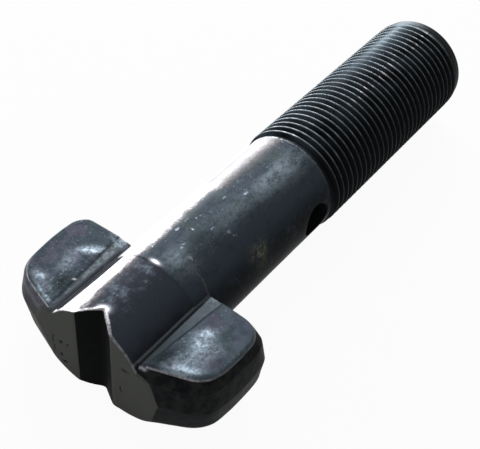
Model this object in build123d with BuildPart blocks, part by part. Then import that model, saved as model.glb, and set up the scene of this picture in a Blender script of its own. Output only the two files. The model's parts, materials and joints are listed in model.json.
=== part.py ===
from build123d import *
from math import radians, sqrt, tan
import os

os.makedirs("parts", exist_ok=True)

# Frame: the origin is on the bolt's axis in the plane of the shoulder, +X runs to the
# thread end, the lugs of the head reach out along Y, and +Z is up as the bolt lies.

# thread and shank
thread_d = 20.0                              # major diameter, M20
thread_pitch = 1.5
shank_d = thread_d - 0.65 * thread_pitch     # rolled thread: the shank stays at its pitch diameter
grip_len = 32.5                              # shoulder to the start of the thread
under_head = 80.0                            # shoulder to the thread end
tip_len = 2.0                                # chamfer at the thread end
tip_d = 18.2
tip_edge_r = 1.2

# cross hole for a locking pin
hole_d = 6.5
hole_x = 28.6
hole_edge = 0.2                              # broken edge round each mouth

# head, forged
head_len = 18.0                              # end face to shoulder
core_drop = 0.12                             # the head's round core lies this far under the shank
core_edge_r = 0.5                            # where the core meets the end face
core_foot = -9.3                             # narrow flat under the core, which the bolt lies on
neck_len = 3.3                               # neck at shank size, just inside the shoulder
neck_rise = 0.6
lug_span = 41.0                              # over both lugs, in the parting plane
lug_side_r = 38.0                            # the lugs' outer sides are arched
lug_side_x = -6.0                            # where they reach furthest out
lug_top = 4.8                                # at the lugs' outer ends
lug_bottom = -6.1
top_slope = 3.5                              # degrees the lug tops fall outwards
foot_slope = 9.0                             # degrees the undersides rise outwards
part_z = -0.8                                # parting plane
draft = 9.0                                  # degrees, up from the parting plane
foot_draft = 6.0                             # degrees, down from it
end_face_w = 24.0                            # flat end face, in the parting plane
front_sweep = 24.0                           # degrees the lug fronts lean back
front_corner_r = 6.0
rear_corner_r = 5.0
crown_in = 0.8                               # bevel round the lug tops
crown_down = 1.6
foot_r = 2.2                                 # rounding round the undersides

# shallow strip beside the core on top of each lug
strip_depth = 0.3
strip_front_w = 1.2
strip_rear_w = 2.8

# V-notch across the end face, cut deeper at the top than at the bottom
notch_w = 7.2
notch_top_depth = 2.9
notch_foot_depth = 1.6
notch_root_r = 0.5
notch_lip_r = 0.4

shank_r = shank_d / 2
thread_r = thread_d / 2
core_r = shank_r - core_drop
half_span = lug_span / 2
top_rise = half_span * tan(radians(top_slope))
foot_fall = half_span * tan(radians(foot_slope))
rear_x = (lug_top + top_rise - part_z) * tan(radians(draft)) + crown_in
sweep = tan(radians(front_sweep))
strip_z = lug_top + top_rise * (1 - core_r / half_span) - strip_depth
foot_y = sqrt(core_r ** 2 - strip_z ** 2)    # where the core rises from the strips

with BuildPart() as wheel_bolt:
    # one lug, drafted up and down from its outline in the parting plane; it starts at the
    # axis and runs past the end face and the shoulder, which are cut flat afterwards
    with BuildSketch(Plane.XY.offset(part_z)) as plan:
        with Locations((lug_side_x, half_span - lug_side_r)):
            Circle(lug_side_r)
        with BuildLine():
            Polyline(
                (rear_x, 0),
                (rear_x, lug_span),
                (-head_len + (lug_span - end_face_w / 2) * sweep, lug_span),
                (-head_len - end_face_w / 2 * sweep, 0),
                close=True,
            )
        make_face(mode=Mode.INTERSECT)
        fillet(plan.vertices().sort_by(Axis.Y)[-2:].sort_by(Axis.X)[0], front_corner_r)
        fillet(plan.vertices().sort_by(Axis.X)[-2:].sort_by(Axis.Y)[-1], rear_corner_r)
    extrude(plan.sketch, amount=thread_r, taper=draft)
    extrude(amount=-thread_r, taper=foot_draft)
    with BuildSketch(Plane.YZ):
        with BuildLine():
            Polyline(
                (0, lug_top + top_rise),
                (half_span, lug_top),
                (half_span, lug_bottom),
                (0, lug_bottom - foot_fall),
                close=True,
            )
        make_face()
    extrude(amount=2 * head_len, both=True, mode=Mode.INTERSECT)
    top = wheel_bolt.faces().sort_by(Axis.Z)[-1]
    chamfer(top.edges(), crown_in, crown_down, reference=top)
    fillet(wheel_bolt.faces().sort_by(Axis.Z)[0].edges(), foot_r)
    mirror(about=Plane.XZ)
    split(bisect_by=Plane.YZ.offset(-head_len), keep=Keep.TOP)
    split(bisect_by=Plane.YZ, keep=Keep.BOTTOM)

    # strips beside the core
    with BuildSketch(Plane.XY.offset(strip_z)):
        with BuildLine():
            Polyline(
                (-head_len, -foot_y - strip_front_w),
                (0, -foot_y - strip_rear_w),
                (0, foot_y + strip_rear_w),
                (-head_len, foot_y + strip_front_w),
                close=True,
            )
        make_face()
    extrude(amount=thread_r, mode=Mode.SUBTRACT)

    # core, neck, shank, thread blank and tip, turned about X
    with BuildSketch(Plane.XZ) as half:
        with BuildLine():
            Polyline(
                (-head_len, 0),
                (-head_len, core_r),
                (-neck_len - neck_rise, core_r),
                (-neck_len, shank_r),
                (grip_len - (thread_r - shank_r), shank_r),
                (grip_len, thread_r),
                (under_head - tip_len, thread_r),
                (under_head, tip_d / 2),
                (under_head, 0),
                close=True,
            )
        make_face()
        fillet(half.vertices().sort_by(Axis.X)[:2].sort_by(Axis.Y)[-1], core_edge_r)
        fillet(half.vertices().sort_by(Axis.X)[-2:].sort_by(Axis.Y)[-1], tip_edge_r)
    revolve(axis=Axis.X)

    # flat underside of the head
    with BuildSketch(Plane.XY.offset(core_foot)):
        with Locations((-head_len, 0)):
            Rectangle(2 * head_len, lug_span)
    extrude(amount=-thread_r, mode=Mode.SUBTRACT)

    # V-notch, its lips rounded into the end face
    for level, depth in ((thread_r, notch_top_depth), (-thread_r, notch_foot_depth)):
        with BuildSketch(Plane.XY.offset(level)) as notch:
            with BuildLine():
                Polyline(
                    (-head_len - depth, -notch_w),
                    (-head_len, -notch_w),
                    (-head_len, -notch_w / 2),
                    (-head_len + depth, 0),
                    (-head_len, notch_w / 2),
                    (-head_len, notch_w),
                    (-head_len - depth, notch_w),
                    close=True,
                )
            make_face()
            fillet(notch.vertices().sort_by(Axis.X)[-1], notch_root_r)
            fillet(notch.vertices().filter_by(lambda v: abs(abs(v.Y) - notch_w / 2) < 0.01), notch_lip_r)
    loft(ruled=True, mode=Mode.SUBTRACT)

    # cross hole
    with BuildSketch(Plane.XZ):
        with Locations((hole_x, 0)):
            Circle(hole_d / 2)
    extrude(amount=thread_r, both=True, mode=Mode.SUBTRACT)
    fillet(wheel_bolt.edges(Select.LAST).filter_by(GeomType.LINE, reverse=True), hole_edge)

wheel_bolt.part.label = "wheel_bolt"
export_step(wheel_bolt.part, "parts/wheel_bolt.step")
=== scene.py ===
import itertools
import json
import math
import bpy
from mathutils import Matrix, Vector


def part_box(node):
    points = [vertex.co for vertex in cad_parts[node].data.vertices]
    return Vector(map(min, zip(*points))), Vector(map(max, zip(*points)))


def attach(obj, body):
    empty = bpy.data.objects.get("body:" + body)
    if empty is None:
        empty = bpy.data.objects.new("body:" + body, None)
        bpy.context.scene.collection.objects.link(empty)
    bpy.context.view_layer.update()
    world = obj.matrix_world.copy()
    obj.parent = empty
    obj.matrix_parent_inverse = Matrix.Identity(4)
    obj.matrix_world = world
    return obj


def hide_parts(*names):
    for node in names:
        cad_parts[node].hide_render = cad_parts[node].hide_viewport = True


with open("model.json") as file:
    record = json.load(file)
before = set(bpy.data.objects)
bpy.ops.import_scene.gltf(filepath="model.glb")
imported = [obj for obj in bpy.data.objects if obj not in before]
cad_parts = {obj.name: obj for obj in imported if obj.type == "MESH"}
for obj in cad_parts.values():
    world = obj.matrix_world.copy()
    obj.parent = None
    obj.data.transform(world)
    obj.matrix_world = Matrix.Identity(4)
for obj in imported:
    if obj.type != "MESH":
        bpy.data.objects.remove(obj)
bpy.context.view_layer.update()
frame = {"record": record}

from types import SimpleNamespace

import bmesh
import bpy
import numpy as np
from mathutils import Matrix, Vector

# ---- sizes, in millimetres
MM = 0.001
TURN = 2 * math.pi
mount = {m["name"]: m for m in frame["record"]["mounts"]}
box_low, box_high = (np.array(c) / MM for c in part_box("wheel_bolt"))

shank_r = mount["shank"]["dims"]["r_mm"]
thread_r = mount["thread"]["dims"]["r_mm"]
hole_r = mount["cross_hole"]["dims"]["r_mm"]
hole_x = mount["cross_hole"]["pos_m"][0] / MM
end_x = box_low[0]                  # the head's end face
tip_x = box_high[0]
swell_room = 0.06                   # kept free inside the box for the forging's swells
half_span = box_high[1] - swell_room
core_drop = 0.12                    # the head's round core lies this far under the shank
core_r = shank_r - core_drop
core_foot = -9.3                    # narrow flat under the core
neck_x = (-3.9, -3.3)               # the core's step up to the shank

# the forged lugs: the left one is on +Y, the right one on -Y; drafts and slopes in degrees
lug_top, top_slope = 4.8, 3.5
lug_bottom, foot_slope = -6.1, 9.0
draft = 9.0
right_part_z, right_foot_draft = -0.8, 6.0
left_part_z, left_foot_draft = 0.2, 9.0     # the left lug draws in more below its parting line
end_half_w = 12.0
side_r, side_x = 38.0, -6.0
rear_wall, rear_corner_r = 1.9, 4.9
left_sweep, left_corner_r = 19.0, 6.6       # the left lug was forged fuller at the front
right_sweep, right_corner_r = 24.0, 5.8

# the bevel round each lug's top face, inwards and downwards; the right one widens to the front
left_bevel_in, left_bevel_down = 0.6, 1.2
right_bevel_in, right_bevel_down = 1.0, 1.8
widening, widening_x, widening_run = 0.8, -9.0, 5.0

# rounded edges, each with the cosine of the angle between its walls' outward normals
wall_lean = 0.18
top_edge_r, top_lean = 0.25, 0.45
bevel_edge_r, bevel_lean = 0.6, 0.89
foot_r, foot_lean = 2.2, 0.2

# each lug's top: a low dome, and a strip beside the core with a fine groove in it
dome_h, dome_sag = 0.22, 0.1
dome_along, dome_out, dome_half_w = 0.55, 13.5, 6.5
strip_depth, strip_front_w, strip_rear_w, strip_ramp = 0.3, 1.2, 2.8, 0.3
strip_widening = (strip_rear_w - strip_front_w) / -end_x
strip_z = lug_top + half_span * math.tan(math.radians(top_slope)) * (1 - core_r / half_span) - strip_depth
foot_y = math.sqrt(core_r ** 2 - strip_z ** 2)      # where the core rises from the strips
groove_off, groove_w, groove_depth = 0.42, 0.2, 0.25

# what the forging left: height and cell of the low swells and of the small hammer marks
swell_h, swell_cell = 0.05, 4.0
hammer_h, hammer_cell = 0.025, 1.3
core_share = 0.6                    # the core, which was turned, shows this share of them

# the V-notch, its root leaning and growing shallower downwards: each value at the axis, and
# its gain for each millimetre of height; then how softly its root and its lips turn
notch_half_w = 3.6
notch_depth, notch_deepening = 2.5, 0.04
notch_root_y, notch_lean = 0.05, 0.024
notch_root_ease, notch_root_rise, notch_lip_ease = 0.3, 0.06, 0.2

# the head's edges: round the end face, with its unevenness; how much more, and how far, the
# corner beside the notch is worn; and at the rear
lip_r, lip_wander = 0.2, 0.06
corner_wear, corner_half_w = 0.5, 0.9
rear_edge_r = 0.35
shoulder_in_r = 9.0                 # the shoulder's face runs in under the shank to here

# the end face: height of its saw marks, and its nicks by centre in y and z and half-widths
saw_h, nick_depth = 0.03, 0.12
end_nicks = [
    ((8.65, -1.6), (0.16, 1.4)),
    ((8.5, -4.3), (0.16, 0.8)),
    ((6.9, -1.3), (0.45, 0.35)),
    ((5.6, -1.1), (0.25, 0.45)),
    ((7.1, -4.7), (0.3, 0.6)),
    ((6.3, -5.9), (0.6, 0.3)),
    ((-6.4, 3.0), (0.9, 0.2)),
    ((-5.45, -2.4), (0.18, 0.9)),
]

# the shank: height and cell of its faint waves and ripples, and its wall round the cross hole,
# which stays true
wave_h, wave_cell = 0.02, 5.0
ripple_h, ripple_cell = 0.008, 1.4
window = 3.62                       # half the square that is left open for each mouth
true_r, true_run = 4.6, 1.5
mouth_lip_r = 0.2

# the thread
pitch = 1.5
thread_depth = 0.92
thread_from, thread_to = 33.0, 77.3
first_crest = 32.98                 # where the first crest passes the top of the bolt
crest_half_w, crest_round, flank_rise = 0.1, 0.02, 0.01
root_ease = 0.03                    # softness of the grooves' roots, in square millimetres
runin_x, runin = 33.1, 0.7          # the grooves start here and are full after this run
runout, plain_end = 1.3, 0.1        # they fade over the first, just before the plain tip
clogged_at, clogged_half_w = math.radians(24), math.radians(12)
clogged_x, clogged_run, clogged_share = 46.0, 26.0, 0.85        # grit fills the grooves to the tip
thread_grain = 0.012
tip_r, tip_edge_r, tip_taper = 9.05, 1.5, 3.0
tip_ease, tip_ease_from, tip_ease_run = 0.05, 5.0, 2.0
turning_h, centre_depth, centre_half_w = 0.02, 0.12, 0.8


# ---- shape tools
def rumple(points, cell, seed):
    """Smooth noise from -1 to 1: random numbers on a cubic lattice of that cell, joined with
    smoothstep weights. The lattice repeats after size cells; shift keeps places above 0."""
    size, shift = 64, 640.5
    lattice = np.random.default_rng(seed).uniform(-1, 1, (size, size, size))
    place = np.asarray(points) / cell + shift
    base = np.floor(place).astype(int)
    part = place - base
    part = part * part * (3 - 2 * part)
    total = 0
    for corner in itertools.product((0, 1), repeat=3):
        weight = np.prod(np.where(corner, part, 1 - part), axis=-1)
        at = (base + corner) % size
        total = total + weight * lattice[at[..., 0], at[..., 1], at[..., 2]]
    return total


def ease(t):
    """Smoothstep: 0 below 0, 1 above 1, and 3t^2 - 2t^3 between."""
    t = np.clip(t, 0, 1)
    return t * t * (3 - 2 * t)


def bell(distance, half_w):
    """A bell over a distance: 1 at 0, and 1/e at the half-width."""
    return np.exp(-(distance / half_w) ** 2)


def tangent(degrees):
    """Rise for each millimetre along, of a slope in degrees."""
    return np.tan(np.radians(degrees))


def round_cut(a, b, r, lean):
    """Distance to the space inside both walls a and b, with their shared edge rounded to r.
    Lean is the cosine of the angle between the walls' outward normals. Where a point faces
    the edge, it is the distance from the rounding's centre line less r, and elsewhere the
    greater of a and b."""
    u, v = a + r, b + r
    facing = (u > lean * v) & (v > lean * u)
    centre = np.sqrt(np.maximum(u * u + v * v - 2 * lean * u * v, 0) / (1 - lean * lean))
    return np.where(facing, centre - r, np.maximum(a, b))


def reach(wall, x, angle, far=26.0, halvings=26):
    """How far from the axis the wall lies at each x and angle, found by halving the span
    between the axis, which is inside, and far, which is outside."""
    low = np.zeros(np.broadcast(x, angle).shape)
    high = low + far
    for _ in range(halvings):
        middle = (low + high) / 2
        outside = wall(x, middle * np.cos(angle), middle * np.sin(angle)) > 0
        high = np.where(outside, middle, high)
        low = np.where(outside, low, middle)
    return (low + high) / 2


def rows_of_quads(rows, columns, wrap=True):
    """Corner numbers of the quads on a grid of rows by columns; wrap joins the last column
    to the first."""
    spans = columns if wrap else columns - 1
    i, j = np.meshgrid(np.arange(rows - 1), np.arange(spans), indexing="ij")
    k = (j + 1) % columns
    here, there = i * columns, (i + 1) * columns
    return np.stack([here + j, here + k, there + k, there + j], -1).reshape(-1, 4)


def show(name, mesh):
    """A smooth-shaded object of the mesh, at the origin."""
    mesh.polygons.foreach_set("use_smooth", np.ones(len(mesh.polygons), bool))
    made = bpy.data.objects.new(name, mesh)
    bpy.context.scene.collection.objects.link(made)
    return made


def skin(name, patches):
    """A piece from patches of (points in mm, quads): stacked, shared borders merged, faces
    turned outwards and shaded smooth."""
    points, quads, start = [], [], 0
    for patch_points, patch_quads in patches:
        flat = np.asarray(patch_points, float).reshape(-1, 3)
        points.append(flat)
        quads.append(patch_quads + start)
        start += len(flat)
    mesh = bpy.data.meshes.new(name)
    mesh.from_pydata((np.concatenate(points) * MM).tolist(), [], np.concatenate(quads).tolist())
    shape = bmesh.new()
    shape.from_mesh(mesh)
    bmesh.ops.remove_doubles(shape, verts=shape.verts, dist=1e-3 * MM)
    bmesh.ops.recalc_face_normals(shape, faces=shape.faces)
    shape.to_mesh(mesh)
    shape.free()
    piece = show(name, mesh)
    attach(piece, "root")
    return piece


def end_cap(ring, rings=4):
    """A hidden disc that closes a tube: rings from its end to a pole on the axis."""
    centre = np.array([ring[0, 0], 0, 0])
    disc = centre + (ring - centre) * np.linspace(1, 0, rings)[:, None, None]
    return disc, rows_of_quads(*disc.shape[:2])


# ---- the forged head
def lug_sides(x, out, left, pull):
    """Distance to a lug's upright walls, which pull draws in: a swept front, an arched side
    and a rear past the shoulder, rounded into each other."""
    sweep = np.radians(np.where(left, left_sweep, right_sweep))
    corner_r = np.where(left, left_corner_r, right_corner_r)
    front = -(x - end_x) * np.cos(sweep) + (out - end_half_w) * np.sin(sweep) + pull
    side = np.hypot(x - side_x, out - half_span + side_r) - side_r + pull
    rear = x - rear_wall + pull
    outer = round_cut(front, side, corner_r, np.sin(sweep) + wall_lean)
    return round_cut(outer, rear, rear_corner_r, wall_lean)


def lug_height(x, out):
    """Height of a lug's top: a slope rising towards the core with a low dome on it, stepped
    down to the strip, which widens to the rear, and sunk by the groove's bell."""
    along = (x - end_x) / -end_x
    slope = lug_top + (half_span - out) * tangent(top_slope)
    dome = 1 - ((along - dome_along) / dome_along) ** 2
    dome = dome_h * dome * (1 - ((out - dome_out) / dome_half_w) ** 2)
    strip_edge = foot_y + strip_front_w + strip_widening * (x - end_x)
    step = strip_depth * (1 - ease((out - strip_edge) / strip_ramp))
    groove = groove_depth * bell(out - foot_y - groove_off, groove_w)
    return slope + np.maximum(dome, -dome_sag) - step - groove


def lug_wall(x, y, z):
    """Distance to the surface of the two lugs: the upright walls, drafted up and down from
    the parting line, a top with a bevel round it, and a rising underside with a rounded foot."""
    out = np.abs(y)
    left = y > 0
    up = z - np.where(left, left_part_z, right_part_z)
    foot_draft = np.where(left, left_foot_draft, right_foot_draft)
    walls = lug_sides(x, out, left, np.where(up > 0, up * tangent(draft), -up * tangent(foot_draft)))
    top = z - lug_height(x, out)
    widened = right_bevel_in + widening * ease((widening_x - x) / widening_run)
    in_w = np.where(left, left_bevel_in, widened)
    down_w = np.where(left, left_bevel_down, right_bevel_down)
    bevel = (down_w * walls + in_w * top + in_w * down_w) / np.hypot(in_w, down_w)
    crown = round_cut(top, bevel, top_edge_r, top_lean)
    under = lug_bottom - (half_span - out) * tangent(foot_slope) - z
    return round_cut(round_cut(walls, crown, bevel_edge_r, bevel_lean), under, foot_r, foot_lean)


def head_wall(x, y, z):
    """Distance to the head's wall: the nearer of the round core and the lugs, with the low
    swells and small hammer marks of a forging."""
    place = np.stack(np.broadcast_arrays(x, y, z), -1)
    core = np.maximum(np.hypot(y, z) - core_r, core_foot - z)
    swell = swell_h * rumple(place, swell_cell, 11) + hammer_h * rumple(place, hammer_cell, 12)
    return np.minimum(core + swell * core_share, lug_wall(x, y, z) + swell)


def notch(y, z):
    """Depth of the V-notch below the end face at y and z: a V whose root leans and grows
    shallower downwards, with its root and its lips eased into hyperbolas."""
    root_y = notch_root_y + notch_lean * z
    off = y - root_y
    half = notch_half_w - root_y * np.sign(off)
    from_root = np.sqrt(off ** 2 + notch_root_ease ** 2) - notch_root_rise
    slope = (notch_depth + notch_deepening * z) * (1 - from_root / half)
    return (slope + np.sqrt(slope ** 2 + notch_lip_ease ** 2)) / 2


def end_dents(y, z):
    """Depth of the small nicks in the end face: for each a bell over y and z."""
    return nick_depth * sum(bell(y - cy, wy) * bell(z - cz, wz) for (cy, cz), (wy, wz) in end_nicks)


def rim_reach(angle):
    """How far from the axis the head's wall lies just behind the end face."""
    just_behind = 0.02
    return reach(head_wall, np.full_like(angle, end_x + just_behind), angle)


def head_angles(count, steps=6000):
    """Angles of the head's columns over the top, from the right of the bolt to the left, spaced
    along the section through the middle of the head and closer at the strips and the crowns,
    and the angles under the bolt that meet the end face at the same y, less the notch's lean."""
    seam = math.radians(-4)
    section_x = -8.0
    fine = np.linspace(seam, math.pi - seam, steps)
    r = reach(head_wall, np.full_like(fine, section_x), fine)
    y, z = r * np.cos(fine), r * np.sin(fine)
    out = np.abs((y[1:] + y[:-1]) / 2)
    closer = 1 + 1.6 * bell(out - 9.0, 1.4) + 1.8 * bell(out - half_span + 1.3, 0.9)
    length = np.concatenate([[0], np.cumsum(np.hypot(np.diff(y), np.diff(z)) * closer)])
    over = np.interp(np.linspace(0, length[-1], count), length, fine)
    lower = np.linspace(seam, -math.pi - seam, steps)
    lower_y = rim_reach(lower) * np.cos(lower)
    upper_y = rim_reach(over) * np.cos(over)
    shift = notch_lean * 2 * core_r * bell(upper_y, 4.0)
    under = np.interp(shift - upper_y, -lower_y, lower)
    under[0], under[-1] = over[0], over[-1] - TURN
    return over, under


def head_walls(angle):
    """The head's walls as rows of points: from the rim of the end face over its rounded edge,
    along the walls to the shoulder, over that edge, and inwards under the shank to the axis."""
    rim_r = rim_reach(angle)
    rim_y, rim_z = rim_r * np.cos(angle), rim_r * np.sin(angle)
    rim_x = end_x + notch(rim_y, rim_z)
    worn = bell(rim_y - notch_root_y - notch_lean * core_r, corner_half_w) * (np.sin(angle) > 0)
    wander = rumple(np.stack([0 * rim_r, rim_y, rim_z], -1), 1.1, 13)
    lip = lip_r + corner_wear * worn + lip_wander * wander

    square_x = -12.6                # in front of here the rows lean with the notch
    turn = np.radians([0, 22, 45, 68, 90])[:, None]
    leaning = np.linspace(0, 1, 42)[1:-1, None] ** 1.15
    x = np.concatenate([
        rim_x + lip * (1 - np.cos(turn)),
        rim_x + lip + (square_x - rim_x - lip) * leaning,
        np.linspace(square_x, -rear_edge_r, 48)[:, None] + 0 * angle,
        -rear_edge_r * (1 - np.sin(turn[1:])) + 0 * angle,
    ])
    inset = np.zeros_like(x)
    inset[:5] = lip * (1 - np.sin(turn))
    inset[-4:] = rear_edge_r * (1 - np.cos(turn[1:]))
    r = reach(head_wall, x, np.broadcast_to(angle, x.shape)) - inset
    shoulder = r[-1] + (shoulder_in_r - r[-1]) * np.linspace(0, 1, 26)[1:, None]
    x = np.concatenate([x, np.zeros_like(shoulder), np.zeros_like(angle)])
    r = np.concatenate([r, shoulder, np.zeros_like(angle)])
    return np.stack([x, r * np.cos(angle), r * np.sin(angle)], -1)


def end_face(rim, count, ruled):
    """The end face, ruled from the rim's upper part down to its lower part, and sunk by the
    notch and the nicks, away from the rim."""
    top_rim = rim[:count]
    low_rim = np.concatenate([rim[:1], rim[:count - 1:-1], rim[count - 1:count]])
    share = np.linspace(0, 1, ruled)[:, None, None]
    face = top_rim + (low_rim - top_rim) * share
    inner = ease(np.minimum(share, 1 - share)[..., 0] * ruled / 2)
    dents = end_dents(face[..., 1], face[..., 2]) + saw_h * rumple(face, 2.2, 21)
    sunk = end_x + notch(face[..., 1], face[..., 2]) + np.maximum(dents, 0)
    face[..., 0] += (sunk - face[..., 0]) * inner
    return face


def build_head(count=281, ruled=48):
    """The head as one skin: walls whose columns run round the axis, and the end face."""
    over, under = head_angles(count)
    angle = np.concatenate([over, under[-2:0:-1]])[None]
    walls = head_walls(angle)
    face = end_face(walls[0], count, ruled)
    return skin("forged_head", [
        (walls, rows_of_quads(*walls.shape[:2])),
        (face, rows_of_quads(ruled, count, wrap=False)),
    ])


# ---- the shank
def shank_wall(angle):
    """The shank's wall as rings round the axis, from the neck inside the head to the thread,
    with faint waves that leave the cross hole and both ends true; and the numbers of the
    rings at the front and the rear of the hole's window."""
    x = np.concatenate([
        [neck_x[0]],
        np.linspace(neck_x[0] + 0.1, neck_x[1], 4),
        np.linspace(neck_x[1], hole_x - window, 92)[1:],
        np.linspace(hole_x - window, hole_x + window, 27)[1:],
        [thread_from],
    ])
    front, rear = len(x) - 28, len(x) - 2
    rise = ease((x - neck_x[0]) / (neck_x[1] - neck_x[0]))
    neck_r = core_r - 0.1
    r = (neck_r + (shank_r - neck_r) * rise)[:, None] + 0 * angle
    x = x[:, None] + 0 * angle
    smooth = np.stack([x, r * np.cos(angle), r * np.sin(angle)], -1)
    steady = ease((x + 3) / 2) * ease((thread_from - x) / 1.5)
    wave = wave_h * (rumple(smooth, wave_cell, 31) - 1) + ripple_h * (rumple(smooth, ripple_cell, 32) - 1)
    away = ease((np.hypot(x - hole_x, smooth[..., 2]) - true_r) / true_run)
    r = r + wave * steady * away
    z = np.where(x < 0, np.maximum(r * np.sin(angle), core_foot), r * np.sin(angle))
    return np.stack([x, r * np.cos(angle), z], -1), front, rear


def mouth_rings(loop, hand):
    """Rings from a window in the shank's wall to the bore: seven that turn the square loop
    into a circle on the wall, then three that roll over the mouth's edge."""
    turned = np.arctan2(loop[:, 2], loop[:, 0] - hole_x)
    mouth_r = hole_r + mouth_lip_r
    rings = [loop]
    for share in np.linspace(0, 1, 8)[1:]:
        x = loop[:, 0] + (hole_x + mouth_r * np.cos(turned) - loop[:, 0]) * share
        z = loop[:, 2] + (mouth_r * np.sin(turned) - loop[:, 2]) * share
        rings.append(np.stack([x, hand * np.sqrt(shank_r ** 2 - z ** 2), z], -1))
    for bend in np.radians([30, 60, 90]):
        ring_r = hole_r + mouth_lip_r * (1 - math.sin(bend))
        x, z = hole_x + ring_r * np.cos(turned), ring_r * np.sin(turned)
        y = hand * (np.sqrt(shank_r ** 2 - z ** 2) - mouth_lip_r * (1 - math.cos(bend)))
        rings.append(np.stack([x, y, z], -1))
    return rings


def hole_lining(left_loop, right_loop):
    """The cross hole's lining: both mouths' rings, and straight rings between them. Each point
    meets the one nearest to it across the bolt in x and z."""
    near, far = mouth_rings(left_loop, 1), mouth_rings(right_loop, -1)
    across = near[-1][:, None] - far[-1][None]
    order = np.hypot(across[..., 0], across[..., 2]).argmin(1)
    far = [ring[order] for ring in far]
    between = [near[-1] + (far[-1] - near[-1]) * share for share in np.linspace(0, 1, 12)[1:-1]]
    lining = np.array(near + between + far[::-1])
    return lining, rows_of_quads(*lining.shape[:2])


def build_shank(columns=256):
    """The shank as one skin: its wall with a window left open for each mouth of the cross
    hole, the hole's lining, and a cap inside the head and inside the thread."""
    step = TURN / columns
    angle = (np.arange(columns) + 0.5) * step
    points, front, rear = shank_wall(angle)
    half = int(round(math.asin(window / shank_r) / step))
    quads = rows_of_quads(*points.shape[:2])
    row, column = np.divmod(quads[:, 0], columns)
    open_rows = (row >= front) & (row < rear)
    keep = np.ones(len(quads), bool)
    loops = []
    for middle in (0, columns // 2):
        keep &= ~(open_rows & ((column - middle + half) % columns < 2 * half - 1))
        near = (middle - half + np.arange(2 * half)) % columns
        loops.append(np.concatenate([
            points[front, near],
            points[front + 1:rear, near[-1]],
            points[rear, near[::-1]],
            points[rear - 1:front:-1, near[0]],
        ]))
    return skin("shank", [
        (points, quads[keep]),
        end_cap(points[0]),
        end_cap(points[-1]),
        hole_lining(*loops),
    ])


# ---- the thread
def thread_profile(phase):
    """Radius of the thread at a phase from 0 to 1 along one pitch, crest at 0: a narrow
    rounded crest, straight 60 degree flanks and a rounded root."""
    off = np.abs((phase + 0.5) % 1 - 0.5) * pitch
    flank = thread_r + flank_rise - np.maximum(off - crest_half_w, 0) * math.sqrt(3)
    root = thread_r - thread_depth
    swept = (flank + root + np.sqrt((flank - root) ** 2 + root_ease)) / 2
    return np.minimum(swept, thread_r - crest_round * (off / crest_half_w) ** 2)


def tip_profile(x):
    """Radius of the unthreaded blank at x: the major radius, easing down over the last
    millimetres in a soft point."""
    eased = tip_ease * ease((x - tip_x + tip_ease_from) / tip_ease_run)
    taper = (thread_r - tip_ease - tip_r) * np.clip((x - tip_x + tip_taper) / tip_taper, 0, 1) ** 1.5
    return thread_r - eased - taper


def around(x, r, angle):
    """Points at x, a radius and an angle from the top of the bolt."""
    return np.stack([x + 0 * angle, -r * np.sin(angle), r * np.cos(angle)], -1)


def thread_helix(lean):
    """The threaded length as a helical grid and its quads: each row follows the helix, so
    crests and roots lie on rows, and the last column meets the first one pitch on. Rows past
    either end are clamped there and merge. The grooves grow in, fade out and are filled where
    they are clogged; a faint roughness cuts into them."""
    columns = len(lean)
    angle = TURN * lean
    at_crest, at_root = [-0.11, -0.07, 0.07, 0.11], [0.5, 0.62, 0.75, 0.88, 1.0]
    marks = np.array([*at_crest, 0.18, *at_root, 1.32]) / pitch
    turns = int((thread_to - thread_from) / pitch) + 3
    stations = (np.arange(turns)[:, None] + marks).ravel()[:, None] - 2
    x = np.clip(first_crest + pitch * (stations + lean), thread_from, thread_to)
    grown = ease((x - runin_x) / runin)
    faded = ease((thread_to - plain_end - x) / runout)
    inner = shank_r + (thread_profile(stations) - shank_r) * grown
    blank = tip_profile(x)
    beside_top = (angle + math.pi + clogged_at) % TURN - math.pi
    clogged = clogged_share * bell(beside_top, clogged_half_w) * ease((x - clogged_x) / clogged_run)
    r = np.minimum(blank - (blank - inner) * faded * (1 - clogged), blank)
    r = r - thread_grain * np.abs(rumple(around(x, r, angle), 0.9, 41)) * ease(x - thread_from)

    rows = len(x)
    i, j = np.meshgrid(np.arange(rows - 1), np.arange(columns), indexing="ij")
    k = (j + 1) % columns
    shift = np.where(j == columns - 1, len(marks), 0)
    here, there = i * columns, (i + shift) * columns
    quads = np.stack([here + j, there + k, there + columns + k, here + columns + j], -1)
    return around(x, r, angle), quads[i + 1 + shift < rows]


def thread_tip(angle):
    """The plain end past the thread as rings: a taper, a quarter round and a flat face with
    turning marks and a shallow centre."""
    bend = np.radians(np.linspace(0, 90, 12))[1:]
    taper_x = np.linspace(thread_to, tip_x - tip_edge_r, 12)
    taper_r = tip_profile(taper_x)
    flat_r = np.linspace(taper_r[-1] - tip_edge_r, 0, 26)[1:]
    turned = turning_h * (1 - np.cos(flat_r * 9))
    face_x = tip_x - turned - centre_depth * bell(flat_r, centre_half_w)
    x = np.concatenate([taper_x, tip_x - tip_edge_r * (1 - np.sin(bend)), face_x])
    r = np.concatenate([taper_r, taper_r[-1] - tip_edge_r * (1 - np.cos(bend)), flat_r])
    return around(x[:, None], r[:, None], angle)


def build_thread(columns=256):
    """The thread as one skin: the helical grid, the tip and a cap inside the shank."""
    lean = np.arange(columns) / columns
    helix, quads = thread_helix(lean)
    tip = thread_tip(TURN * lean)
    tip[0] = helix[-1]
    return skin("thread", [(helix, quads), (tip, rows_of_quads(*tip.shape[:2])), end_cap(helix[0])])


head = build_head()
shank = build_shank()
thread = build_thread()
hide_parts("wheel_bolt")


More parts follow.
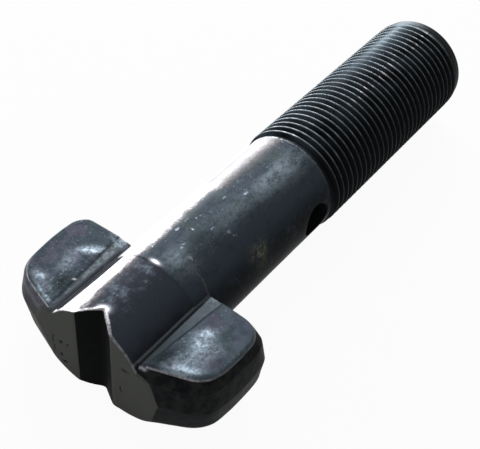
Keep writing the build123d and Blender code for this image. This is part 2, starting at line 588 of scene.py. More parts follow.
# ---- shader tools
class Sum:
    """A number on a finish's socket, so that shader maths reads as an expression."""

    def __init__(self, finish, socket):
        self.finish, self.socket = finish, socket

    def math(self, operation, *others, clamp=False):
        settings = {"operation": operation, "use_clamp": clamp}
        made = self.finish.node("ShaderNodeMath", settings, dict(enumerate((self, *others))))
        return Sum(self.finish, made.outputs[0])

    def __add__(self, other):
        return self.math("ADD", other)

    def __sub__(self, other):
        return self.math("SUBTRACT", other)

    def __rsub__(self, other):
        return self * -1 + other

    def __mul__(self, other):
        return self.math("MULTIPLY", other)

    def __truediv__(self, other):
        return self.math("DIVIDE", other)

    def __pow__(self, other):
        return self.math("POWER", other)

    __radd__, __rmul__ = __add__, __mul__

    def clamp(self):
        """The same number, kept from 0 to 1."""
        return self.math("ADD", 0, clamp=True)

    def step(self, low, high):
        """0 at low and before it, 1 at high and past it, eased between; low may be the greater."""
        settings = {"interpolation_type": "SMOOTHSTEP"}
        made = self.finish.node("ShaderNodeMapRange", settings, {0: self, 1: low, 2: high, 3: 0.0, 4: 1.0})
        return Sum(self.finish, made.outputs[0])

    def line(self, inner, outer):
        """1 where the number lies within inner of 0, and 0 from outer on, to both sides."""
        return 1 - self.math("ABSOLUTE").step(inner, outer)


class Finish:
    """A material being made: its node tree, Object coordinates, and short names for nodes."""

    def __init__(self, name):
        self.material = bpy.data.materials.new(name)
        self.material.use_nodes = True
        self.tree = self.material.node_tree
        self.tree.nodes.clear()
        self.place = self.node("ShaderNodeTexCoord").outputs["Object"]

    def node(self, kind, settings=None, inputs=None):
        """A node of a kind: first its settings, then its inputs, by name or by number. An
        input is a Sum or a socket to link, or a number, vector or colour to set."""
        made = self.tree.nodes.new(kind)
        for key, value in (settings or {}).items():
            setattr(made, key, value)
        for key, value in (inputs or {}).items():
            value = value.socket if isinstance(value, Sum) else value
            if isinstance(value, bpy.types.NodeSocket):
                self.tree.links.new(value, made.inputs[key])
            else:
                made.inputs[key].default_value = value
        return made

    def noise(self, size_mm, detail=2.0, rough=0.5, stretch=(1, 1, 1), turn=(0, 0, 0), offset=0.0):
        """Noise with features of about size_mm; stretch and turn lay it out along a line, and
        offset moves it, so that two noises never line up."""
        where = self.node("ShaderNodeMapping", None, {
            "Vector": self.place,
            "Location": (offset, offset * 0.7, -offset),
            "Rotation": turn,
            "Scale": stretch,
        })
        made = self.node("ShaderNodeTexNoise", None, {
            "Vector": where.outputs[0],
            "Scale": 1 / (size_mm * MM),
            "Detail": detail,
            "Roughness": rough,
        })
        return Sum(self, made.outputs["Fac"])

    def axis(self):
        """x, y and z in millimetres."""
        split = self.node("ShaderNodeSeparateXYZ", None, {"Vector": self.place})
        return [Sum(self, socket) / MM for socket in split.outputs]

    def mark(self, u, v, centre, size, turn=0.0):
        """A soft bell over two coordinates, 1 at its centre; size is its half-widths along and
        across a line turned from the first towards the second."""
        du, dv = u - centre[0], v - centre[1]
        along = (du * math.cos(turn) + dv * math.sin(turn)) * (1 / size[0])
        across = (dv * math.cos(turn) - du * math.sin(turn)) * (1 / size[1])
        return ((along * along + across * across) * -1).math("EXPONENT")

    def marks(self, u, v, places):
        """Several marks added up, each from its strength, centre, half-widths and turn."""
        return sum(self.mark(u, v, *where) * strength for strength, *where in places)

    def blend(self, share, low, high):
        """The colour low where share is 0, high where it is 1, and their mix between."""
        return self.node("ShaderNodeMix", {"data_type": "RGBA"}, {0: share, 6: low, 7: high}).outputs[2]

    def bump(self, height, depth_mm, under=None):
        """Height from 0 to 1 as a relief of depth_mm, on top of the relief under it."""
        inputs = {"Height": height, "Strength": 1.0, "Distance": depth_mm * MM}
        if under is not None:
            inputs["Normal"] = under
        return self.node("ShaderNodeBump", None, inputs).outputs["Normal"]

    def surface(self, shader):
        """The finished material, with this shader on its surface."""
        self.node("ShaderNodeOutputMaterial", None, {"Surface": shader.outputs[0]})
        return self.material

    def steel(self, colour, rough, metal, relief):
        """The finished material as oxidised steel, whose oxide hardly shines."""
        return self.surface(self.node("ShaderNodeBsdfPrincipled", None, {
            "Base Color": colour,
            "Roughness": rough,
            "Metallic": metal,
            "Normal": relief,
            "Specular IOR Level": 0.015,
        }))


# ---- colours
def tone(r, g, b):
    """A colour from its display values, 0 to 255."""
    return (*(((value / 255 + 0.055) / 1.055) ** 2.4 for value in (r, g, b)), 1.0)


# the notch, painted near-black as its shade
NOTCH_PAINTED_SHADE = tone(22, 23, 24)
# black oxide, and painted shade in the strips' groove and down the shank's right side
BLACK_OXIDE_AND_SHADE = tone(26, 28, 30)
DULL_TEAL = tone(36, 45, 48)
WALL_OXIDE = tone(46, 47, 47)
# painted shade along the step up to the lug tops
STEP_SHADE_TEAL = tone(46, 56, 62)
NAVY_OXIDE = tone(50, 57, 66)
TOP_NAVY = tone(52, 60, 70)
SHANK_NAVY = tone(54, 62, 74)
SHANK_BLUE = tone(58, 66, 74)
CORE_BLUE = tone(58, 64, 73)
CORE_VIOLET = tone(62, 65, 75)
SHANK_GREEN = tone(64, 76, 72)
# the thread's top, lighter as painted sheen
THREAD_SHEEN_BLUE = tone(64, 74, 82)
TOP_GREEN = tone(66, 82, 80)
LEFT_TOP_BLUE = tone(66, 77, 88)
STRIP_FRONT = tone(70, 80, 86)
# the shank's upper side, lighter as painted sheen
SHANK_SHEEN_GREY = tone(78, 89, 100)
LEFT_WALL_GREY = tone(84, 84, 88)
RIGHT_TOP_GREY = tone(88, 100, 112)
# grey scale, and the painted sheen on the core's top
GREY_SCALE_AND_SHEEN = tone(92, 105, 117)
# the left strip, darker next to the core as painted crease shade
LEFT_STRIP_SHADED = tone(92, 97, 106)
LEFT_STRIP_EDGE = tone(92, 101, 106)
# a painted highlight on the ridge at the right strip's foot
RIDGE_HIGHLIGHT_GREY = tone(96, 100, 106)
TOP_VIOLET = tone(98, 92, 108)
STRIP_REAR = tone(104, 114, 122)
BEVEL_GREY = tone(106, 108, 118)
LEFT_STRIP_RUB = tone(130, 140, 148)
# a painted sheen over the thread towards the tip
THREAD_SHEEN_HAZE = tone(134, 149, 160)
SHANK_SHEEN = tone(140, 154, 165)
# the streak of painted sheen along the shank's top
CREST_GREY = tone(152, 162, 168)
# pale scale flecks, and the painted sheen on the lug tops
PALE_SCALE_AND_SHEEN = tone(168, 184, 198)
# bare steel, and the white of painted highlights and of the window's painted reflection
BARE_STEEL_AND_GLARE = tone(208, 206, 212)
SAWN_GREY = tone(88, 90, 87)
# brown scale, and the brown fringe where the painted reflection fades
BROWN_SCALE_AND_SHEEN = tone(98, 92, 91)
RUST_TINT = tone(50, 42, 36)
DIRT = tone(112, 113, 101)
PAPER = tone(243, 243, 243)
WHITE = tone(255, 255, 255)

# marks on the head in x and y, in millimetres: strength, centre, half-widths and turn
# grey patches on the core, partly scale and partly painted sheen
core_sheen_blotches = [
    (1.2, (-12.4, 0.8), (4.2, 2.0)),
    (1.8, (-5.4, 1.0), (1.6, 1.3)),
]
lug_shades = [
    (1.0, (-12.9, 11.2), (2.4, 1.1), 0.2),
    (1.0, (-13.4, -10.6), (2.6, 1.2), -0.3),
]
# painted sheen and highlights on the lug tops and along their front edges
rubbed_spots = [
    (1.2, (-5.1, 12.1), (2.0, 0.8), -0.87),
    (1.1, (-6.4, -12.6), (1.5, 0.9), -0.6),
    (0.7, (-8.6, -13.2), (1.8, 1.3), -0.9),
    (2.0, (-14.3, -13.8), (2.6, 0.8), -0.8),
    (0.5, (-12.6, -13.4), (2.6, 1.4), -0.7),
    (0.75, (-14.0, 14.7), (0.6, 1.1)),
    (0.8, (-15.9, 13.3), (0.4, 1.2), -0.4),
    (1.1, (-16.8, 10.6), (0.4, 1.3), -0.2),
    (0.35, (-15.0, 13.2), (1.4, 2.6), -0.3),
    (0.35, (-9.5, -14.5), (3.5, 1.6), -0.5),
    (0.35, (-9.5, 13.2), (2.4, 1.4), 0.3),
]
strip_ends = [
    (1.0, (-0.9, 9.8), (1.0, 1.5)),
    (1.0, (-0.8, -9.3), (0.9, 0.8)),
]
corner_nicks = [
    (2.24, (-17.05, -8.95), (0.55, 0.25), -1.27),
    (1.12, (-11.3, 9.9), (0.3, 0.16), -0.7),
]
notch_corner = [
    (1.6, (-15.0, 0.3), (0.7, 0.9), 0.5),
]

# marks on top of the shank in x and y: the streak of painted sheen as above, and nicks by centre and
# half-widths
shank_streak = [
    (1.7, (26.0, -2.5), (6.5, 1.5)),
    (0.5, (14.0, -2.2), (6.0, 1.4)),
    (0.8, (0.0, -2.2), (2.4, 2.0)),
]
shank_nicks = [
    ((8.2, 1.5), (0.5, 0.2)),
    ((2.4, -0.6), (0.7, 0.15)),
    ((6.0, 0.2), (0.3, 0.5)),
    ((14.6, 0.9), (0.7, 0.15)),
    ((18.0, -1.2), (0.3, 0.4)),
    ((1.2, -3.0), (0.3, 0.7)),
    ((8.4, -1.8), (0.7, 0.2)),
    ((10.1, -3.9), (0.3, 0.35)),
    ((10.4, -4.9), (0.35, 0.12)),
    ((4.6, 2.4), (0.3, 0.2)),
    ((-0.5, 3.1), (0.4, 0.2)),
]


def painted_glare_side(m, y, limit, grain, offset, soft):
    """1 on the side where the window's reflection is painted in bare-steel white, a painted highlight,
    where y is past the limit, fading out over soft millimetres in a frayed border; and 1 on the brown
    fringe along that border, where the painted reflection fades."""
    fray = m.noise(1.6, 5, 0.75, (0.5, 1, 1), offset=offset)
    inside = y - limit + (fray - 0.5) * 3.0 + (grain - 0.5) * 1.4
    share = (inside / soft).math("MINIMUM", 1.0).math("MAXIMUM", -1.0)
    return share.step(-1.0, 1.0) ** 2, share.step(-1.0, 0.0)


# ---- the head's finish
def head_zones(m):
    """Where the head's parts lie, as masks that are 1 on their part, with the distances that
    place them and the noises that every layer shares."""
    h = SimpleNamespace()
    h.x, h.y, h.z = m.axis()
    h.cloud = m.noise(5.5, 3)
    h.mottle = m.noise(1.5, 4, 0.6, offset=3.1)
    h.ragged = m.noise(0.8, 4, 0.65, offset=12.1)
    h.grain = m.noise(0.42, 3, 0.6, offset=7.7)
    h.left = h.y.step(-0.5, 0.5)
    h.high = h.z.step(4.0, 8.5)
    out = h.y.math("ABSOLUTE")

    # the round core and the lugs, and height over the lugs' plain sloping tops
    h.from_axis = (h.y * h.y + h.z * h.z).math("SQRT")
    h.lug = h.from_axis.step(core_r + 0.13, core_r + 0.29)
    h.core = 1 - h.lug
    h.level = h.z - lug_top - (half_span - out) * tangent(top_slope)
    h.lug_face = h.level.step(-0.32, -0.2) * h.lug

    # the strips, by the distances outside the core's foot and outside the step
    h.from_foot = out - foot_y
    h.from_step = h.from_foot - strip_front_w - (h.x - end_x) * strip_widening
    h.on_strip = h.lug * h.level.step(-1.1, -0.7) * (1 - h.from_step.step(0.05, 0.25))

    # the sawn end, and the notch in it
    root = notch_root_y + h.z * notch_lean
    left_flank = (notch_half_w - h.y) / (notch_half_w - root)
    right_flank = (h.y + notch_half_w) / (root + notch_half_w)
    flank = left_flank.math("MINIMUM", right_flank)
    depth = (notch_depth + h.z * notch_deepening) * flank
    h.behind_end = (h.x - end_x - depth.math("MAXIMUM", 0.0)).math("ABSOLUTE")
    h.sawn = 1 - h.behind_end.step(0.2, 0.36)
    h.in_notch = h.sawn * flank.step(0.01, 0.05)
    return h


def core_patch(m, h):
    """Blotches of grey scale and painted sheen on top of the core, and a finer scatter of them."""
    blotches = h.mottle.step(0.4, 0.7) * m.marks(h.x, h.y, core_sheen_blotches)
    scatter = h.ragged.step(0.5, 0.64) * h.mottle.step(0.42, 0.62) * h.y.step(-5.0, 0.0) * 0.7
    return (blotches + scatter).clamp() * h.core * h.high


def rubbed_spot(m, h):
    """Pale spots of painted sheen on the lug tops, where the light's reflection is painted, broken up by
    the noises.
    """
    broken = 0.25 + h.mottle * 0.9 + (h.ragged - 0.5) * 2.2 + (h.grain - 0.5) * 2.2
    return (m.marks(h.x, h.y, rubbed_spots) * broken).clamp() * h.lug_face


def lug_walls(m, h):
    """Near-black walls, clouded with grey above the parting line and tinted with rust; the
    left lug's wall and bevel are greyer."""
    base = m.blend(h.mottle.step(0.35, 0.7) * h.z.step(-1.5, -0.5), BLACK_OXIDE_AND_SHADE, WALL_OXIDE)
    brown = m.noise(1.3, 4, 0.7, offset=5.5).step(0.58, 0.7) * h.cloud.step(0.42, 0.58)
    base = m.blend(brown * 0.8, base, RUST_TINT)
    bevel = h.level.step(-3.4, -2.0) * (1 - h.level.step(-0.32, -0.2))
    bevel = bevel * h.lug * h.left * h.x.step(-6, -12)
    base = m.blend(bevel * (0.6 + h.mottle.step(0.4, 0.6) * 0.4), base, BEVEL_GREY)
    return m.blend(h.left * h.lug * h.z.step(-3.0, 2.0) * (1 - bevel) * 0.6, base, LEFT_WALL_GREY)


def core_top(m, h, base):
    """The core's blue-black top with its patches of grey scale and painted sheen."""
    base = m.blend(h.core * h.high, base, m.blend(h.y.step(-5.5, 2.0), CORE_BLUE, CORE_VIOLET))
    return m.blend(h.patch * 0.85, base, GREY_SCALE_AND_SHEEN)


def lug_tops(m, h, base):
    """The lugs' cloudy blue-grey tops, shaded along the strips and paler at the spots of painted sheen."""
    worn = h.mottle.step(0.36, 0.66) * 0.55 + h.cloud.step(0.36, 0.64) * 0.5 + (1 - h.left) * 0.3
    top = m.blend(worn.clamp(), TOP_NAVY, m.blend(h.left, RIGHT_TOP_GREY, LEFT_TOP_BLUE))
    top = m.blend(h.grain.step(0.5, 0.66) * 0.3, top, GREY_SCALE_AND_SHEEN)
    hue = m.noise(3.2, 3, 0.6, offset=15.0)
    top = m.blend(hue.step(0.5, 0.64) * 0.45, top, TOP_VIOLET)
    top = m.blend(hue.step(0.5, 0.36) * 0.45, top, TOP_GREEN)
    shade = m.marks(h.x, h.y, lug_shades) * (0.7 + h.mottle * 0.8)
    top = m.blend(shade.clamp(), top, DULL_TEAL)
    base = m.blend(h.lug_face, base, top)
    # the pale painted sheen on the lug tops
    base = m.blend(h.spot, base, PALE_SCALE_AND_SHEEN)
    fleck = h.grain.step(0.6, 0.72) * m.noise(2.2, 2, offset=9.3).step(0.46, 0.62)
    return m.blend(fleck * (h.lug_face * 0.7 + h.patch).clamp(), base, PALE_SCALE_AND_SHEEN)


def strips(m, h, base):
    """The strips beside the core, the left one darker next to the core as painted crease shade: a ragged
    dark line of painted shade at the step up to the lug's top, painted shade in the groove, a thin pale
    painted highlight on the ridge at the right strip's foot, and pale rubs at the rear ends."""
    base = m.blend(h.on_strip, base, m.blend(h.x.step(-14, 0), STRIP_FRONT, STRIP_REAR))
    base = m.blend(h.on_strip * h.left, base, LEFT_STRIP_SHADED)
    rub = m.blend(h.ragged.step(0.4, 0.6), LEFT_STRIP_EDGE, LEFT_STRIP_RUB)
    base = m.blend(h.on_strip * h.left * h.from_foot.step(1.0, 1.35), base, rub)
    # painted shade along the step
    seam = (h.from_step - 0.12 + (h.ragged - 0.5) * 0.5).line(0.12, 0.3)
    seam = seam * h.lug * h.level.step(-0.9, -0.6) * h.x.step(-17.5, -14)
    base = m.blend(seam * 0.75, base, STEP_SHADE_TEAL)
    # painted shade in the groove
    groove = (h.from_foot - groove_off).line(0.16, 0.34) * (1 - h.left * 0.6)
    base = m.blend(h.on_strip * groove, base, BLACK_OXIDE_AND_SHADE)
    # a painted highlight on the ridge
    ridge_highlight = (h.from_foot - 0.02).line(0.08, 0.2) * h.z.step(4.5, 4.9) * (1 - h.left)
    base = m.blend(ridge_highlight * 0.7, base, RIDGE_HIGHLIGHT_GREY)
    ends = m.marks(h.x, h.y, strip_ends) * h.ragged.step(0.45, 0.55) * h.lug * h.z.step(3.5, 4.5)
    return m.blend(ends.clamp() * 0.8, base, PALE_SCALE_AND_SHEEN)


def sawn_end(m, h, base):
    """The sawn end's matt grey with its dark nicks, and the notch painted black as its shade."""
    base = m.blend(h.sawn, base, SAWN_GREY)
    bent_y, bent_z = h.y + (h.ragged - 0.5) * 1.2, h.z + (h.mottle - 0.5) * 2.0
    nicked = sum(m.mark(bent_y, bent_z, *nick) for nick in end_nicks) * (0.4 + h.ragged * 1.2)
    base = m.blend(h.sawn * nicked.step(0.22, 0.62) * 0.8, base, BLACK_OXIDE_AND_SHADE)
    return m.blend(h.in_notch, base, NOTCH_PAINTED_SHADE)


def core_glare(m, h):
    """The window's reflection painted on the core's side in bare-steel white, and its brown fringe, up to
    the left strip.
    """
    bright, glare_fringe = painted_glare_side(m, h.y, 3.6 + (h.x + 14.0) * 0.05, h.grain, 4.4, 1.4)
    beyond = h.y - 6.15 + (h.x + 10.0).math("MINIMUM", 0.0) * 0.075
    upper = h.core * h.z.step(3.0, 4.5) * (1 - h.sawn)
    return bright * upper * (1 - beyond.step(-0.1, 0.35)), glare_fringe * upper * (1 - beyond.step(-1.4, -0.9))


def notch_corner_wear(m, h):
    """The bare worn corner of the core beside the notch."""
    wear = m.marks(h.x, h.y, notch_corner) * h.core * h.from_axis.step(core_r - 0.33, core_r - 0.01)
    return (wear * (0.6 + h.ragged * 0.8)).clamp()


def end_rim(h):
    """The thin pale rim of the end face along the core's top: partly wear, partly a painted highlight on
    its rounded edge.
    """
    near = h.y.step(-5.5, -2.0)
    rim = (1 - (h.behind_end - near * 0.35).step(0.38, 0.55)) * h.behind_end.step(0.02, 0.12)
    rim = rim * h.z.step(1.0, 4.0) * h.core * h.from_axis.step(core_r - 0.22, core_r - 0.01)
    return rim * (0.25 + near * 0.45) * (0.4 + h.ragged.step(0.4, 0.6))


def lug_edges(m, h):
    """The thin pale edges round the lug tops, stronger at the front, partly wear and partly a painted
    highlight where they catch the light, and two nicks in them.
    """
    edge = h.level.step(-0.5, -0.4) * (1 - h.level.step(-0.28, -0.2)) * h.lug * (1 - h.on_strip)
    front = h.x.step(-10.5, -14.5)
    strength = (1 - h.left) * (0.28 + front * 0.55) + h.left * front * 0.9
    edge = edge * strength * (h.ragged.step(0.38, 0.56) * 0.6 + 0.4)
    nicks = (m.marks(h.x, h.y, corner_nicks) * (h.grain + 0.4)).clamp()
    return edge * 0.8 + nicks * h.lug * h.level.step(-0.95, -0.6)


def forged_black():
    """Black oxide over forging scale: near-black walls, blue-grey mottled lug tops with pale spots of
    painted sheen, the window's reflection painted on the core's side in bare-steel white, thin pale edges
    that are partly wear and partly painted highlight, and a sawn matt end with its notch painted black as
    shade."""
    m = Finish("forged_black")
    h = head_zones(m)
    h.patch = core_patch(m, h)
    h.spot = rubbed_spot(m, h)
    base = lug_walls(m, h)
    base = core_top(m, h, base)
    base = lug_tops(m, h, base)
    base = strips(m, h, base)
    base = sawn_end(m, h, base)

    bright, glare_fringe = core_glare(m, h)
    corner = notch_corner_wear(m, h)
    # bare steel and painted highlights: the window's painted reflection, the end rim, the worn notch
    # corner and the lug edges
    bare_and_glare = (bright + end_rim(h) + corner + lug_edges(m, h)).clamp()
    base = m.blend(glare_fringe * 0.7, base, BROWN_SCALE_AND_SHEEN)
    base = m.blend(bare_and_glare, base, BARE_STEEL_AND_GLARE)
    rough = 0.42 + (h.mottle - 0.5) * 0.2 + (h.grain - 0.5) * 0.1
    rough = rough + h.sawn * (1 - corner) * 0.25 - h.spot * 0.06
    metal = bright + bare_and_glare * 0.5 + h.spot * 0.35 + h.lug_face * 0.15 + h.patch * 0.25
    metal = (metal.clamp() * (1 - h.sawn) + corner * 0.8).clamp()
    relief = m.bump(h.mottle, 0.03, m.bump(h.grain * (0.35 + h.lug_face * 0.65), 0.03))
    return m.steel(base, rough, metal, relief)


# ---- the shank's finish
def shank_zones(m):
    """The shank's upper half, and that half left of its right flank, which is painted dark as shade, as
    masks, with the noises that all layers share, and the pale streak of painted sheen and the nicks along
    the top."""
    s = SimpleNamespace()
    s.x, s.y, s.z = m.axis()
    s.cloud = m.noise(7.0, 3, offset=1.3)
    s.mottle = m.noise(1.7, 4, 0.65, offset=4.1)
    s.grain = m.noise(0.4, 3, 0.6, offset=2.2)
    s.wisp = m.noise(2.2, 4, 0.65, (0.35, 1.0, 1.0), (0, 0, 0.25), 3.9)
    s.high = s.z.step(-1.0, 4.0)
    s.upper = (s.y + (s.cloud - 0.5) * 3).step(-5.6, -2.6) * s.high

    broken = 0.3 + s.wisp.step(0.35, 0.65) * 0.5 + (s.grain - 0.5) * 1.5 + (s.mottle - 0.5) * 0.8
    # a pale streak of painted sheen along the top
    s.streak = (m.marks(s.x, s.y, shank_streak) * broken).clamp() * s.high
    bent_x, bent_y = s.x + (s.mottle - 0.5) * 2.4, s.y + (s.grain - 0.5) * 1.6
    nicked = sum(m.mark(bent_x, bent_y, *nick) for nick in shank_nicks)
    s.nick = ((nicked * (0.2 + s.grain + s.mottle * 0.8) - 0.5) * 2.5).clamp() * s.high
    return s


def shank_oxide(m, s):
    """Blue-black oxide, painted black down the right and underneath as shade: wisps of grey painted sheen
    on top, navy blotches, two faint hues and the painted sheen streak.
    """
    # black down the right and underneath: painted shade
    base = m.blend(s.y.step(-9.4, -6.6) * s.high, BLACK_OXIDE_AND_SHADE, SHANK_BLUE)
    dull = m.mark(s.x, s.y, (10.0, 2.0), (5.5, 1.8)) * 0.7
    # grey painted sheen on the shank's upper side
    base = m.blend(s.upper * (0.25 + s.wisp.step(0.4, 0.6) * 0.65) * (1 - dull), base, SHANK_SHEEN_GREY)
    blotch = s.mottle.step(0.48, 0.36) * 0.6 + s.grain.step(0.46, 0.36) * 0.4
    base = m.blend(blotch.clamp() * s.high, base, NAVY_OXIDE)
    hue = m.noise(3.4, 3, 0.6, offset=17.0)
    base = m.blend(hue.step(0.5, 0.62) * s.upper * 0.5, base, SHANK_NAVY)
    base = m.blend(hue.step(0.5, 0.38) * s.upper * 0.5, base, SHANK_GREEN)
    return m.blend(s.streak, base, SHANK_SHEEN)


def shank_specks(m, s, base):
    """Pale flecks, fine scratches and nicks, a thin brown arc just behind the shoulder, and a
    blot of dried dirt on the right."""
    fleck = s.grain.step(0.6, 0.72) * m.noise(2.4, 3, offset=8.3).step(0.48, 0.6) * s.upper
    fleck = fleck * (0.5 + s.y.step(-2.0, 3.0) * 0.5)
    scratch = (m.noise(1.0, 2, 0.5, (0.1, 1.0, 1.0), (0, 0, 0.5), 6.4) - 0.5).line(0.002, 0.010)
    scratch = scratch * s.mottle.step(0.5, 0.7) * s.upper * 0.3
    base = m.blend((fleck * 0.6 + scratch + s.nick * 0.5).clamp(), base, PALE_SCALE_AND_SHEEN)
    arc = (s.x - 1.0 - s.y * 0.12 + (s.mottle - 0.5) * 1.2).line(0.08, 0.22)
    base = m.blend(arc * (1 - s.y.step(-3.0, -2.0)) * s.high * 0.5, base, BROWN_SCALE_AND_SHEEN)
    blot = m.mark(s.x, s.y, (12.8, -8.3), (2.0, 0.8)) * s.z.step(0.0, 2.0)
    blot = blot * (s.mottle.step(0.4, 0.6) * 0.6 + s.grain.step(0.52, 0.66) * 0.9)
    return m.blend(blot.clamp(), base, DIRT)


def shank_glare(m, s):
    """The window's reflection painted on the shank's side in bare-steel white, fainter near the thread,
    and its brown fringe."""
    limit = 3.9 + s.x.step(4.0, 10.0) * 0.5 - s.x.step(13.5, 18.0) * 0.9
    soft = s.x.step(12.0, 20.0) * 1.2 + 1.3
    bright, glare_fringe = painted_glare_side(m, s.y, limit, s.grain, 9.1, soft)
    side = s.z.step(2.6, 4.6)
    faint = s.x.step(14.0, 19.0) * (1 - s.y.step(6.0, 8.5)) * 0.62
    return bright * side * (1 - faint), glare_fringe * side * (0.4 + s.grain.step(0.4, 0.6) * 0.5)


def shank_wear(m, s):
    """A painted highlight in bare-steel white in a crescent on the core's step, and bare steel on the last
    ring before the thread.
    """
    crescent = m.mark(s.x, s.y, (-3.2, 0.4), (0.45, 0.9)) * s.high
    last = s.x.step(thread_from - 0.35, thread_from - 0.15) * s.high
    last = last * s.y.step(-7.0, 2.0) * s.grain.step(0.4, 0.56)
    return crescent * 1.2 + last * 0.8


def drawn_black():
    """Black oxide over drawn steel: mottled, with blue-grey painted sheen on top, navy and then black down
    the right as painted shade, the window's reflection painted on one side in bare-steel white, small pale
    flecks and a blot of dried dirt."""
    m = Finish("drawn_black")
    s = shank_zones(m)
    bright, glare_fringe = shank_glare(m, s)
    # bare steel and painted highlights: the window's painted reflection and the crescent on the core's
    # step
    bare_and_glare = (bright + shank_wear(m, s)).clamp()
    base = m.blend(glare_fringe, shank_oxide(m, s), BROWN_SCALE_AND_SHEEN)
    base = shank_specks(m, s, base)
    base = m.blend(bare_and_glare, base, BARE_STEEL_AND_GLARE)
    rough = 0.40 + (s.mottle - 0.5) * 0.2 + (s.grain - 0.5) * 0.08
    metal = (bare_and_glare + s.nick * 0.5 + s.streak * 0.2 + s.upper * 0.15).clamp()
    relief = m.bump(s.mottle, 0.03, m.bump(s.grain, 0.012))
    return m.steel(base, rough, metal, relief)


# ---- the thread's finish
def rolled_black():
    """Black oxide over a rolled thread, lighter on top as painted sheen: dark grooves, thin grey crest
    lines that are partly rubbed and partly painted highlight, dimmed down the right as painted shade, a
    few painted glints in bare-steel white, and a painted sheen towards the tip."""
    m = Finish("rolled_black")
    x, y, z = m.axis()
    cloud, mottle = m.noise(5.0, 3, offset=2.7), m.noise(1.2, 4, 0.65, offset=5.1)
    high = z.step(1.0, 8.0)
    # lighter on top, towards the left: painted sheen
    sheen_blue = cloud.step(0.3, 0.6) * y.step(-6.5, 0.0) * high * (1 - x.step(76.0, 78.0) * 0.6)
    base = m.blend(sheen_blue.clamp(), BLACK_OXIDE_AND_SHADE, THREAD_SHEEN_BLUE)
    # a painted sheen towards the tip
    sheen_haze = (m.mark(y, z, (4.1, 9.1), (2.3, 2.3)) * x.step(34, 70) * (0.6 + mottle * 0.8)).clamp()
    from_axis = (y * y + z * z).math("SQRT")
    crest = from_axis.step(thread_r - 0.14, thread_r - 0.05) * (1 - x.step(thread_to - 0.8, thread_to))
    line = crest * (0.5 + mottle.step(0.35, 0.7) * 0.5) * (1 - sheen_haze * 0.9)
    # the crest lines dimmed down the right: painted shade
    line = line * (0.08 + (y + mottle * 3).step(-8.5, 2.5) * 0.92)
    base = m.blend(line, base, CREST_GREY)
    base = m.blend(sheen_haze * 0.85, base, THREAD_SHEEN_HAZE)
    # painted glints on the crests, in bare-steel white
    glint = m.mark(y, z, (-1.7, 9.8), (1.0, 1.0)) * x.step(46, 52) + m.mark(x, y, (34.2, 1.6), (1.2, 1.2))
    glint = (crest * glint * m.noise(0.9, 2, offset=6.9).step(0.46, 0.58)).clamp()
    base = m.blend(glint, base, BARE_STEEL_AND_GLARE)
    rough = 0.42 + (mottle - 0.5) * 0.2
    return m.steel(base, rough, (glint * 0.7 + line * 0.4).clamp(), m.bump(mottle, 0.012))


def white_paper():
    """Matt white paper that the camera, and whatever mirrors it, sees as nearly white even
    in the bolt's shadow."""
    whiteness = 0.945
    m = Finish("white_paper")
    ray = m.node("ShaderNodeLightPath").outputs
    rays = ("Is Camera Ray", "Is Glossy Ray", "Is Transmission Ray")
    seen = sum(Sum(m, ray[name]) for name in rays).clamp()
    paper = m.node("ShaderNodeBsdfDiffuse", None, {"Color": PAPER})
    glow = m.node("ShaderNodeEmission", None, {"Strength": 1.0})
    return m.surface(m.node("ShaderNodeMixShader", None, {
        0: seen * whiteness,
        1: paper.outputs[0],
        2: glow.outputs[0],
    }))


def dress(piece, material):
    piece.data.materials.clear()
    piece.data.materials.append(material)


dress(head, forged_black())
dress(shank, drawn_black())
dress(thread, rolled_black())


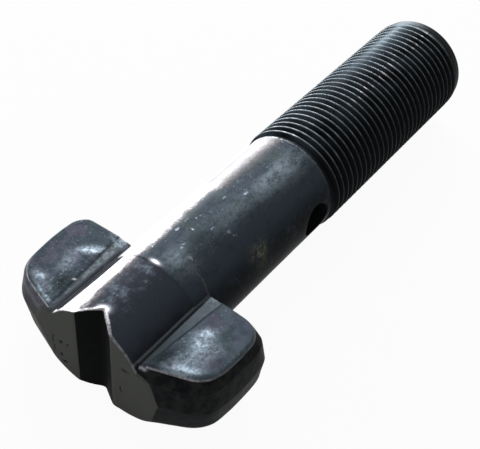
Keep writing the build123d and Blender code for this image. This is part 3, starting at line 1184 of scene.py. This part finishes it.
# ---- floor, lights and camera
def build_floor():
    """A flat sheet under the bolt that turns up into a backdrop far behind it: a profile of
    floor, quarter bend and wall carried along a line."""
    reach_out, bend_r, wall_h, half_w = 1500, 500, 1500, 2500
    heading = np.array([0.83, 0.557, 0])
    side = np.array([-0.557, 0.83, 0])
    bend = np.radians(np.linspace(0, 90, 24))[1:]
    flat = np.concatenate([[-reach_out], np.linspace(-1200, reach_out, 10)])
    out = np.concatenate([flat, reach_out + bend_r * np.sin(bend), [reach_out + bend_r]])
    up = np.concatenate([0 * flat, bend_r * (1 - np.cos(bend)), [wall_h]]) + box_low[2]
    across = np.linspace(-half_w, half_w, 9)
    points = out[:, None, None] * heading + across[None, :, None] * side
    points[..., 2] = up[:, None]
    quads = rows_of_quads(*points.shape[:2], wrap=False)[:, ::-1]
    mesh = bpy.data.meshes.new("floor")
    mesh.from_pydata((points * MM).reshape(-1, 3).tolist(), [], quads.tolist())
    floor = show("floor", mesh)
    dress(floor, white_paper())


def lamp(name, direction, distance, size, power):
    """An oblong softbox facing the bolt from that direction; metres and watts."""
    light = bpy.data.lights.new(name, "AREA")
    light.shape = "RECTANGLE"
    light.size, light.size_y = size
    light.energy = power
    made = bpy.data.objects.new(name, light)
    target = Vector((0.02, 0, 0))
    heading = Vector(direction).normalized()
    made.location = target + heading * distance
    made.rotation_euler = heading.to_track_quat("Z", "Y").to_euler()
    bpy.context.scene.collection.objects.link(made)


def build_camera():
    """Looks down on the bolt from beyond its head, on the side of the right lug, with a
    small roll; its place is in metres."""
    camera = bpy.data.cameras.new("camera")
    camera.sensor_width, camera.lens = 36.0, 76.9
    camera.clip_start = 0.01
    eye = Vector((-0.08191, -0.06757, 0.12904))
    right = Vector((0.6064, -0.7930, 0.0582)).normalized()
    back = right.cross(Vector((0.5548, 0.4745, 0.6834))).normalized()
    up = back.cross(right)
    made = bpy.data.objects.new("camera", camera)
    made.matrix_world = Matrix.Translation(eye) @ Matrix((right, up, back)).transposed().to_4x4()
    bpy.context.scene.collection.objects.link(made)
    bpy.context.scene.camera = made


build_floor()
lamp("window", (0.57, 0.82, 0.12), 0.9, (1.3, 0.24), 17)
lamp("skylight", (0.56, 0.42, 0.74), 1.2, (0.55, 0.55), 6.0)
build_camera()

world = bpy.data.worlds.new("room")
world.use_nodes = True
room = world.node_tree.nodes["Background"].inputs
room["Color"].default_value = WHITE
room["Strength"].default_value = 0.30
bpy.context.scene.world = world
bpy.context.scene.view_settings.view_transform = "Standard"
